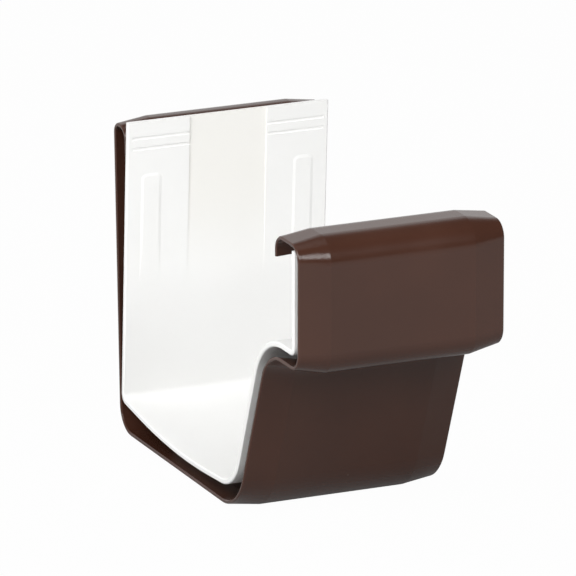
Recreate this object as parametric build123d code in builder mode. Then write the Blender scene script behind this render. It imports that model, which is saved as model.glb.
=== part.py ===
from build123d import *
import os
from math import cos, radians, tan

# Gutter connector for a five inch K-style gutter: a brown outer shell with a white liner inside it.
# The ends of two gutters slide into the gap between shell and liner, one from each side.
# X runs along the gutter, +Y is the back that stands against the house, +Z is up.
# The origin is at the middle of the bounding box's bottom. Millimetres and degrees.

# Outer shell: sizes on the outer surface of its straight middle
shell_length = 63.8
overall_depth = 135.8
shell_height = 96.6
shell_wall = 1.1
back_lean = 2.2
floor_setback = 43.5
ledge_setback = 22.65
ledge_height = 53.2
lip_height = 40.5
lip_hook_depth = 19.2
lip_leaf_drop = 8.0
back_hook_depth = 10.4
back_leaf_drop = 9.2

# Outer shell: radii on the outer surface of its straight middle
back_hook_radius = 4.4
leaf_hook_radius = 4.5
back_floor_radius = 9.6
front_floor_radius = 18.5
shoulder_radius = 11.7
lip_foot_radius = 7.0
lip_front_radius = 7.6
lip_back_radius = 5.8

# Outer shell: how far it moves inwards at its narrow ends, and the tighter roll of the lip there
taper_length = 9.5
shell_taper = 1.25
ledge_taper = 2.0
lip_end_radius = 5.0

# Inner liner: its reach past the shell's ends, its wall, and its gaps to the shell's straight middle
liner_overhang = 0.3
liner_wall = 1.6
liner_rise = 0.8
gap_back_foot = 2.2
gap_back_leaf = 0.3
gap_floor = 3.9
gap_front = 4.4
gap_ledge = 5.3
gap_lip = 2.9

# Inner liner: clearance of its front edge under the roll of the lip, at the shell's narrow ends
gap_lip_top = 0.1355

# Inner liner: its floor bows down between its two corners
floor_low_setback = 45.0
floor_fall_back = 8.2
floor_fall_front = 3.3
floor_bow_share = 0.65

# Inner liner: radii on its outer surface
liner_back_radius = 3.3
liner_front_radius = 14.5
liner_shoulder_radius = 19.8
liner_foot_radius = 2.6

# Broken edges at the ends of both pieces
edge_break = 0.3

# Centre band of the liner, with a stop rib under each of its edges
band_width = 24.8
band_recess = 0.4
band_recess_length = 55.0
stop_wall = 2.0
stop_top_margin = 4.0

# Two grooves across each wing of the liner's back wall
groove_depth = 0.2
groove_width = 0.9
groove_drops = (5.0, 8.25)
groove_end_margin = 1.5

# Shallow pad on each wing of the liner's back wall, which runs out downwards
pad_height = 0.15
pad_seat = 0.1
pad_width = 7.8
pad_length = 45.0
pad_flat_length = 20.0
pad_ramp = 1.5
pad_corner = 2.5
pad_drop = 15.5
pad_end_margin = 3.9

# Shell's places worked out from the sizes
half_depth = overall_depth / 2
lean_slope = tan(radians(back_lean))
lean_stretch = 1 / cos(radians(back_lean))
hook_bulge = back_hook_radius * (lean_slope + lean_stretch - 1)
back_foot_y = half_depth + hook_bulge - shell_height * lean_slope
back_leaf_y = half_depth - back_hook_depth
back_leaf_z = shell_height - back_leaf_drop
front_foot_y = floor_setback - half_depth
front_slope = (ledge_setback - floor_setback) / ledge_height
front_stretch = (1 + front_slope**2) ** 0.5
lip_top = ledge_height + lip_height
shell_end = shell_length / 2
shell_straight = shell_end - taper_length

# Liner's places: its back wall leans from the shell's back corner to the leaf of the back hook
liner_end = shell_end + liner_overhang
liner_top = shell_height + liner_rise
liner_lip_y = shell_wall + gap_lip - half_depth
roll_centre_y = shell_taper + lip_end_radius - half_depth
roll_centre_z = lip_top - shell_taper - lip_end_radius
roll_rise = ((lip_end_radius - shell_wall) ** 2 - (liner_lip_y - roll_centre_y) ** 2) ** 0.5
liner_lip_top = roll_centre_z + roll_rise - gap_lip_top
liner_foot_y = back_foot_y + lean_slope * back_floor_radius - (shell_wall + gap_back_foot) * lean_stretch
liner_slope = (back_leaf_y - gap_back_leaf - liner_foot_y) / (back_leaf_z - back_floor_radius)
liner_stretch = (1 + liner_slope**2) ** 0.5
floor_low_y = half_depth - floor_low_setback
floor_low_z = shell_wall + gap_floor
bow_half_turn = radians(floor_fall_back + floor_fall_front) / 2


def crossing(wall, floor):
    """Corner where the wall y = wall[0] + wall[1] * z meets the floor z = floor[0] + floor[1] * y."""
    z = (floor[0] + floor[1] * wall[0]) / (1 - floor[1] * wall[1])
    return (wall[0] + wall[1] * z, z)


def point_on(wall, z):
    """Point of a leaning wall at height z."""
    return (wall[0] + wall[1] * z, z)


def shell_back(inset):
    """Shell's back wall, moved inwards from its outer surface."""
    return (back_foot_y - inset * lean_stretch, lean_slope)


def front_wall(inset):
    """Slanted front wall, moved inwards from the shell's outer surface."""
    return (front_foot_y + inset * front_stretch, front_slope)


def liner_back(depth):
    """Liner's back wall, at a depth from its rear surface."""
    return (liner_foot_y - liner_slope * back_floor_radius - depth * liner_stretch, liner_slope)


def liner_floor(fall, depth):
    """Half of the liner's floor, which rises backwards by the fall, at a depth from its underside."""
    slope = tan(radians(fall))
    return (floor_low_z - slope * floor_low_y + depth / cos(radians(fall)), slope)


def shell_channel(narrowing, depth):
    """Corners and radii of the shell between its hooks; narrowing is 0 in the middle and 1 at an end."""
    inset = shell_taper * narrowing + depth
    floor = (inset, 0)
    ledge_z = ledge_height + ledge_taper * narrowing + depth
    corners = [
        crossing(shell_back(inset), floor),
        crossing(front_wall(inset), floor),
        point_on(front_wall(inset), ledge_z),
        (inset - half_depth, ledge_z),
    ]
    radii = [
        back_floor_radius - inset,
        front_floor_radius - inset,
        shoulder_radius + inset,
        lip_foot_radius - inset,
    ]
    return corners, radii


def shell_line(narrowing, depth):
    """Line of the shell from one hook's leaf to the other's, at a depth into its wall."""
    inset = shell_taper * narrowing + depth
    corners, radii = shell_channel(narrowing, depth)
    hook_top = shell_height - inset
    hook = [
        (back_leaf_y + depth, back_leaf_z),
        (back_leaf_y + depth, hook_top),
        point_on(shell_back(inset), hook_top),
    ]
    hook_radii = [leaf_hook_radius - depth, back_hook_radius - inset]
    lip_leaf_y = lip_hook_depth - half_depth - inset
    lip = [
        (inset - half_depth, lip_top - inset),
        (lip_leaf_y, lip_top - inset),
        (lip_leaf_y, lip_top - lip_leaf_drop),
    ]
    roll_radius = lip_front_radius + (lip_end_radius - lip_front_radius) * narrowing
    lip_radii = [roll_radius - depth, lip_back_radius - inset]
    return hook + corners + lip, hook_radii + radii + lip_radii


def liner_line(depth):
    """Line of the liner from its back edge to its edge under the lip, at a depth into its wall."""
    back = liner_back(depth)
    floor_back = liner_floor(floor_fall_back, depth)
    floor_front = liner_floor(-floor_fall_front, depth)
    floor_low = (floor_front[0] - floor_back[0]) / (floor_back[1] - floor_front[1])
    front = front_wall(shell_wall + gap_front + depth)
    ledge_z = ledge_height + shell_wall + gap_ledge + depth
    lip_y = liner_lip_y + depth
    back_corner = crossing(back, floor_back)
    front_corner = crossing(front, floor_front)
    corners = [
        point_on(back, liner_top),
        back_corner,
        (floor_low, floor_back[0] + floor_back[1] * floor_low),
        front_corner,
        point_on(front, ledge_z),
        (lip_y, ledge_z),
        (lip_y, liner_lip_top),
    ]
    bow_tangent = floor_bow_share * min(back_corner[0] - floor_low, floor_low - front_corner[0])
    radii = [
        liner_back_radius - depth,
        bow_tangent / tan(bow_half_turn),
        liner_front_radius - depth,
        liner_shoulder_radius + depth,
        liner_foot_radius - depth,
    ]
    return corners, radii


def wall_section(outer_line, inner_line, x):
    """Section of a bent wall at x, between two lines given by their corners and radii."""
    with BuildSketch(Plane.YZ.offset(x)) as section:
        with BuildLine():
            outer = FilletPolyline(*outer_line[0], radius=outer_line[1])
            inner = FilletPolyline(*inner_line[0], radius=inner_line[1])
            Line(outer @ 0, inner @ 0)
            Line(outer @ 1, inner @ 1)
        make_face()
    return section.sketch


def shell_section(narrowing, thinning, x):
    """Section of the shell at x, with both of its faces moved into the wall by the thinning."""
    outer_line = shell_line(narrowing, thinning)
    inner_line = shell_line(narrowing, shell_wall - thinning)
    return wall_section(outer_line, inner_line, x)


def liner_section(thinning, x):
    """Section of the liner at x, with both of its faces moved into the wall by the thinning."""
    return wall_section(liner_line(thinning), liner_line(liner_wall - thinning), x)


# Outer shell: straight middle with rolled hooks along both top edges, and two narrowing ends
with BuildPart() as outer_shell:
    extrude(shell_section(0, 0, 0), amount=shell_straight)
    shell_wide = shell_section(0, 0, shell_straight)
    shell_narrow = shell_section(1, 0, shell_end - edge_break)
    shell_rim = shell_section(1, edge_break, shell_end)
    loft([shell_wide.face(), shell_narrow.face()], ruled=True)
    loft([shell_narrow.face(), shell_rim.face()], ruled=True)
    mirror(about=Plane.YZ)

# Inner liner: a like section nested in the shell, held off it by two stop ribs
with BuildPart() as inner_liner:
    extrude(liner_section(0, 0), amount=liner_end - edge_break)
    liner_full = liner_section(0, liner_end - edge_break)
    liner_rim = liner_section(edge_break, liner_end)
    loft([liner_full.face(), liner_rim.face()], ruled=True)

    # Stop rib that fills the gap out to the shell's inner face, where it is bonded
    with BuildSketch(Plane.YZ.offset(band_width / 2 - stop_wall)):
        corners, radii = shell_channel(0, shell_wall)
        rib_back = point_on(shell_back(shell_wall), back_leaf_z - stop_top_margin)
        rib_lip = (shell_wall - half_depth, lip_top - lip_front_radius - stop_top_margin)
        with BuildLine():
            rib_edge = FilletPolyline(rib_back, *corners, rib_lip, radius=radii)
            Line(rib_edge @ 1, rib_edge @ 0)
        make_face()
        corners, radii = liner_line(0)
        with BuildLine():
            liner_edge = FilletPolyline(*corners, radius=radii)
            Line(liner_edge @ 1, liner_edge @ 0)
        make_face(mode=Mode.SUBTRACT)
    extrude(amount=stop_wall)

    # Grooves across the wing
    groove_start = band_width / 2
    with BuildSketch(Plane.YZ.offset(groove_start)):
        for drop in groove_drops:
            with Locations(point_on(liner_back(liner_wall), liner_top - drop)):
                Rectangle(2 * groove_depth, groove_width)
    extrude(amount=liner_end - groove_end_margin - groove_start, mode=Mode.SUBTRACT)

    # Pad on the wing, from a long foot in the wall to a shorter flat near its top
    pad_x = liner_end - pad_end_margin - pad_width / 2
    pad_top = point_on(liner_back(liner_wall), liner_top - pad_drop)
    pad_plane = Plane((pad_x, *pad_top), x_dir=(1, 0, 0), z_dir=(0, -1, liner_slope))
    with BuildSketch(pad_plane.offset(-pad_seat)):
        with Locations((0, -pad_length / 2)):
            RectangleRounded(pad_width, pad_length, pad_corner)
    with BuildSketch(pad_plane.offset(pad_height)):
        with Locations((0, -pad_ramp - pad_flat_length / 2)):
            RectangleRounded(pad_width - 2 * pad_ramp, pad_flat_length, pad_corner - pad_ramp)
    loft(ruled=True)
    mirror(about=Plane.YZ)

    # Shallow recess of the centre band, deepest at the top edge
    with BuildSketch(Plane.YZ):
        recess_foot = point_on(liner_back(liner_wall), liner_top - band_recess_length)
        recess_front = point_on(liner_back(liner_wall), liner_top)
        recess_back = point_on(liner_back(liner_wall - band_recess), liner_top)
        with BuildLine():
            Polyline(recess_foot, recess_front, recess_back, close=True)
        make_face()
    extrude(amount=band_width / 2, both=True, mode=Mode.SUBTRACT)

os.makedirs("parts", exist_ok=True)
outer_shell.part.label = "outer_shell"
export_step(outer_shell.part, "parts/outer_shell.step")
inner_liner.part.label = "inner_liner"
export_step(inner_liner.part, "parts/inner_liner.step")
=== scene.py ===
import bpy
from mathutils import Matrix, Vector

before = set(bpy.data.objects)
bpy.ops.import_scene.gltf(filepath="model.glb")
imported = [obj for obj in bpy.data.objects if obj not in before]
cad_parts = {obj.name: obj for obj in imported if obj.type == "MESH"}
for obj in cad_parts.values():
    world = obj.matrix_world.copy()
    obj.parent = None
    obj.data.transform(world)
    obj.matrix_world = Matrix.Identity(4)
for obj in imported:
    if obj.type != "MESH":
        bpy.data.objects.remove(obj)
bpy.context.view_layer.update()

# Camera, in metres, with its lens in millimetres: seen a little from the left end and from above
CAMERA_PLACE = (-0.9068, -2.0224, 0.7290)
CAMERA_AIM = (0.0239, 0.0659, 0.0373)
CAMERA_LENS = 500.0
CAMERA_SENSOR = 36.0
CAMERA_REACH = 100.0

# Brown plastic: linear colours, gloss, and specks of dust by their count in a metre, size and cover
BROWN = (0.0590, 0.0228, 0.0140, 1)
BROWN_DARK = (0.0510, 0.0197, 0.0121, 1)
BROWN_CLOUDS = 35.0
BROWN_CLOUD_DETAIL = 4.0
BROWN_GLOSS = 0.38
BROWN_ROUGHNESS = 0.23
BROWN_GRAIN = 0.12
DUST = (0.20, 0.16, 0.14, 1)
SPECK_COUNT = 90.0
SPECK_CORE = 0.012
SPECK_EDGE = 0.03
SPECK_COVER = 0.6

# White plastic: linear colours and gloss
WHITE = (0.90, 0.90, 0.89, 1)
WHITE_DULL = (0.88, 0.88, 0.865, 1)
WHITE_CLOUDS = 25.0
WHITE_CLOUD_DETAIL = 3.0
WHITE_GLOSS = 0.4
WHITE_ROUGHNESS = 0.35
WHITE_GRAIN = 0.08

# Centre band of the liner, in metres: half its width, its edge, and where its painted shade, a darker and
# creamier tint standing in for the shading of its tilted recess, starts and is full
BAND_PAINTED_SHADE = (0.875, 0.865, 0.83, 1)
BAND_HALF_WIDTH = 0.0124
BAND_EDGE = 0.0003
BAND_SHADE_FOOT = 0.042
BAND_SHADE_TOP = 0.080

# Both plastics: the part of the noise that makes clouds, how uneven the gloss is, and the moulded grain
CLOUD_LOW = 0.3
CLOUD_HIGH = 0.7
ROUGHNESS_SPREAD = 0.03
GRAIN_COUNT = 1800.0
GRAIN_DETAIL = 2.0
GRAIN_HEIGHT = 0.0001

# Floor: its colour, its white to the eye, and its white in reflections near the object, dimmed there by a
# painted shadow, and far off
FLOOR_SIZE = 12.0
FLOOR_COLOUR = (0.42, 0.42, 0.42, 1)
FLOOR_ROUGHNESS = 0.9
FLOOR_GLOW_TO_EYE = 0.98
FLOOR_NEAR = 0.05
FLOOR_FAR = 0.25
FLOOR_GLOW_PAINTED_SHADOW = 0.1
FLOOR_GLOW_FAR = 0.78

# World: light on the object, darkness of the room in reflections, and the reach of the white backdrop
ROOM_LIGHT = 0.2
ROOM_GLOSS = 0.06
BACKDROP_DEPTH = 0.4
BACKDROP_FULL_HEIGHT = 0.3
BACKDROP_TOP = 0.95

# Softboxes, in metres and watts: name, place, aim, width, height, power
SOFTBOXES = (
    ("key", (-0.862, -0.498, 0.80), (0, 0, 0.05), 0.9, 0.9, 18.2),
    ("front", (0.068, -1.042, 0.67), (0, 0, 0.09), 0.34, 0.40, 5.4),
    ("overhead", (0.08, 0.15, 1.35), (0.08, 0.15, 0.0), 0.56, 0.9, 1.3),
)


def new_material(name):
    """Node material with its Principled shader."""
    material = bpy.data.materials.new(name)
    material.use_nodes = True
    return material, material.node_tree, material.node_tree.nodes["Principled BSDF"]


def dress(node, material):
    """Give a CAD node its material."""
    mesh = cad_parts[node].data
    mesh.materials.clear()
    mesh.materials.append(material)


def arithmetic(tree, operation, first, second):
    """Math node between two values, each a socket or a number."""
    node = tree.nodes.new("ShaderNodeMath")
    node.operation = operation
    for slot, value in enumerate((first, second)):
        if isinstance(value, (int, float)):
            node.inputs[slot].default_value = value
        else:
            tree.links.new(value, node.inputs[slot])
    return node.outputs["Value"]


def ramp(tree, value, low, high, start, end):
    """Smooth step of a value from start at low to end at high."""
    node = tree.nodes.new("ShaderNodeMapRange")
    node.interpolation_type = "SMOOTHSTEP"
    node.inputs["From Min"].default_value = low
    node.inputs["From Max"].default_value = high
    node.inputs["To Min"].default_value = start
    node.inputs["To Max"].default_value = end
    tree.links.new(value, node.inputs["Value"])
    return node.outputs["Result"]


def mix(tree, share, first, second):
    """Colour mix by a share, where a colour is a socket or a constant."""
    node = tree.nodes.new("ShaderNodeMix")
    node.data_type = "RGBA"
    tree.links.new(share, node.inputs["Factor"])
    # The colour sockets share their names with other types, so they go by number
    for slot, value in ((6, first), (7, second)):
        if isinstance(value, tuple):
            node.inputs[slot].default_value = value
        else:
            tree.links.new(value, node.inputs[slot])
    return node.outputs[2]


def position(tree):
    """Place on the object, in metres."""
    return tree.nodes.new("ShaderNodeTexCoord").outputs["Object"]


def split_axes(tree, vector):
    """X, Y and Z of a vector, as sockets by name."""
    node = tree.nodes.new("ShaderNodeSeparateXYZ")
    tree.links.new(vector, node.inputs["Vector"])
    return node.outputs


def noise(tree, count, detail):
    """Noise over the object, with its count of features in a metre."""
    node = tree.nodes.new("ShaderNodeTexNoise")
    node.inputs["Scale"].default_value = count
    node.inputs["Detail"].default_value = detail
    tree.links.new(position(tree), node.inputs["Vector"])
    return node.outputs["Fac"]


def mirrored_ray(tree, path):
    """One on rays that a glossy or clear surface sends out, else zero."""
    return arithmetic(tree, "MAXIMUM", path.outputs["Is Glossy Ray"], path.outputs["Is Transmission Ray"])


def finish_plastic(tree, shader, cloud, gloss, roughness, grain):
    """Gloss that is uneven with the clouds, and a fine moulded grain."""
    low = roughness - ROUGHNESS_SPREAD
    high = roughness + ROUGHNESS_SPREAD
    tree.links.new(ramp(tree, cloud, CLOUD_LOW, CLOUD_HIGH, low, high), shader.inputs["Roughness"])
    shader.inputs["Specular IOR Level"].default_value = gloss
    bump = tree.nodes.new("ShaderNodeBump")
    bump.inputs["Strength"].default_value = grain
    bump.inputs["Distance"].default_value = GRAIN_HEIGHT
    tree.links.new(noise(tree, GRAIN_COUNT, GRAIN_DETAIL), bump.inputs["Height"])
    tree.links.new(bump.outputs["Normal"], shader.inputs["Normal"])


def brown_plastic():
    """Cloudy brown with a few specks of dust."""
    material, tree, shader = new_material("brown_pvc")
    cloud = noise(tree, BROWN_CLOUDS, BROWN_CLOUD_DETAIL)
    colour = mix(tree, ramp(tree, cloud, CLOUD_LOW, CLOUD_HIGH, 0.0, 1.0), BROWN_DARK, BROWN)
    specks = tree.nodes.new("ShaderNodeTexVoronoi")
    specks.inputs["Scale"].default_value = SPECK_COUNT
    tree.links.new(position(tree), specks.inputs["Vector"])
    speck_spot = ramp(tree, specks.outputs["Distance"], SPECK_CORE, SPECK_EDGE, 1.0, 0.0)
    colour = mix(tree, arithmetic(tree, "MULTIPLY", speck_spot, SPECK_COVER), colour, DUST)
    tree.links.new(colour, shader.inputs["Base Color"])
    finish_plastic(tree, shader, cloud, BROWN_GLOSS, BROWN_ROUGHNESS, BROWN_GRAIN)
    return material


def white_plastic():
    """White that is duller in clouds, with painted shade, a darker and creamier tint, on the upper part of
    the centre band.
    """
    material, tree, shader = new_material("white_pvc")
    cloud = noise(tree, WHITE_CLOUDS, WHITE_CLOUD_DETAIL)
    colour = mix(tree, ramp(tree, cloud, CLOUD_LOW, CLOUD_HIGH, 0.0, 1.0), WHITE_DULL, WHITE)
    place = split_axes(tree, position(tree))
    off_middle = arithmetic(tree, "ABSOLUTE", place["X"], 0.0)
    in_band = ramp(tree, off_middle, BAND_HALF_WIDTH - BAND_EDGE, BAND_HALF_WIDTH + BAND_EDGE, 1.0, 0.0)
    in_height = ramp(tree, place["Z"], BAND_SHADE_FOOT, BAND_SHADE_TOP, 0.0, 1.0)
    # Painted shade: the upper part of the centre band is tinted darker and creamier, standing in for the
    # shading of its tilted recess
    colour = mix(tree, arithmetic(tree, "MULTIPLY", in_band, in_height), colour, BAND_PAINTED_SHADE)
    tree.links.new(colour, shader.inputs["Base Color"])
    finish_plastic(tree, shader, cloud, WHITE_GLOSS, WHITE_ROUGHNESS, WHITE_GRAIN)
    return material


def floor_paper():
    """White to the eye with a trace of the shadow; in reflections a painted shadow darkens it near the
    object, white far off.
    """
    material, tree, shader = new_material("floor_paper")
    shader.inputs["Base Color"].default_value = FLOOR_COLOUR
    shader.inputs["Roughness"].default_value = FLOOR_ROUGHNESS
    shader.inputs["Specular IOR Level"].default_value = 0.0
    glow = tree.nodes.new("ShaderNodeEmission")
    glow.inputs["Strength"].default_value = 1.0
    path = tree.nodes.new("ShaderNodeLightPath")
    to_eye = arithmetic(tree, "MULTIPLY", path.outputs["Is Camera Ray"], FLOOR_GLOW_TO_EYE)
    reach = tree.nodes.new("ShaderNodeVectorMath")
    reach.operation = "LENGTH"
    tree.links.new(position(tree), reach.inputs[0])
    # Painted shadow: in reflections the floor's glow is dimmed near the object, by distance from the middle
    glow_with_painted_shadow = ramp(tree, reach.outputs["Value"], FLOOR_NEAR, FLOOR_FAR, FLOOR_GLOW_PAINTED_SHADOW, FLOOR_GLOW_FAR)
    in_mirror = arithmetic(tree, "MULTIPLY", mirrored_ray(tree, path), glow_with_painted_shadow)
    blend = tree.nodes.new("ShaderNodeMixShader")
    tree.links.new(arithmetic(tree, "ADD", to_eye, in_mirror), blend.inputs[0])
    tree.links.new(shader.outputs["BSDF"], blend.inputs[1])
    tree.links.new(glow.outputs["Emission"], blend.inputs[2])
    tree.links.new(blend.outputs["Shader"], tree.nodes["Material Output"].inputs["Surface"])
    return material


def studio_world():
    """White to the eye; reflections show the white backdrop behind, and a dark room in front and above."""
    world = bpy.data.worlds.new("studio")
    world.use_nodes = True
    tree = world.node_tree
    direction = split_axes(tree, tree.nodes.new("ShaderNodeTexCoord").outputs["Generated"])
    behind = ramp(tree, direction["Y"], 0.0, BACKDROP_DEPTH, 0.0, 1.0)
    low = ramp(tree, direction["Z"], BACKDROP_FULL_HEIGHT, BACKDROP_TOP, 1.0, 0.0)
    backdrop = ramp(tree, arithmetic(tree, "MULTIPLY", behind, low), 0.0, 1.0, ROOM_GLOSS, 1.0)
    path = tree.nodes.new("ShaderNodeLightPath")
    mirrored = mirrored_ray(tree, path)
    room = arithmetic(tree, "MULTIPLY", arithmetic(tree, "SUBTRACT", 1.0, mirrored), ROOM_LIGHT)
    shown = arithmetic(tree, "ADD", arithmetic(tree, "MULTIPLY", mirrored, backdrop), room)
    level = arithmetic(tree, "MAXIMUM", path.outputs["Is Camera Ray"], shown)
    background = tree.nodes["Background"]
    background.inputs["Color"].default_value = (1, 1, 1, 1)
    tree.links.new(level, background.inputs["Strength"])
    return world


def put(name, data, place, aim):
    """Lamp or camera in the scene that points at a place."""
    item = bpy.data.objects.new(name, data)
    item.location = place
    item.rotation_euler = (Vector(aim) - Vector(place)).to_track_quat("-Z", "Y").to_euler()
    bpy.context.scene.collection.objects.link(item)
    return item


def softbox(name, place, aim, width, height, watts):
    """Rectangular area lamp."""
    lamp = bpy.data.lights.new(name, "AREA")
    lamp.shape = "RECTANGLE"
    lamp.size = width
    lamp.size_y = height
    lamp.energy = watts
    put(name, lamp, place, aim)


# Object
dress("outer_shell", brown_plastic())
dress("inner_liner", white_plastic())

# Stage and light
bpy.ops.mesh.primitive_plane_add(size=FLOOR_SIZE)
floor = bpy.context.object
floor.name = "floor"
floor.data.materials.append(floor_paper())
bpy.context.scene.world = studio_world()
for values in SOFTBOXES:
    softbox(*values)

# Camera
camera = bpy.data.cameras.new("camera")
camera.lens = CAMERA_LENS
camera.sensor_width = CAMERA_SENSOR
camera.clip_end = CAMERA_REACH
bpy.context.scene.camera = put("camera", camera, CAMERA_PLACE, CAMERA_AIM)

bpy.context.scene.view_settings.view_transform = "Standard"
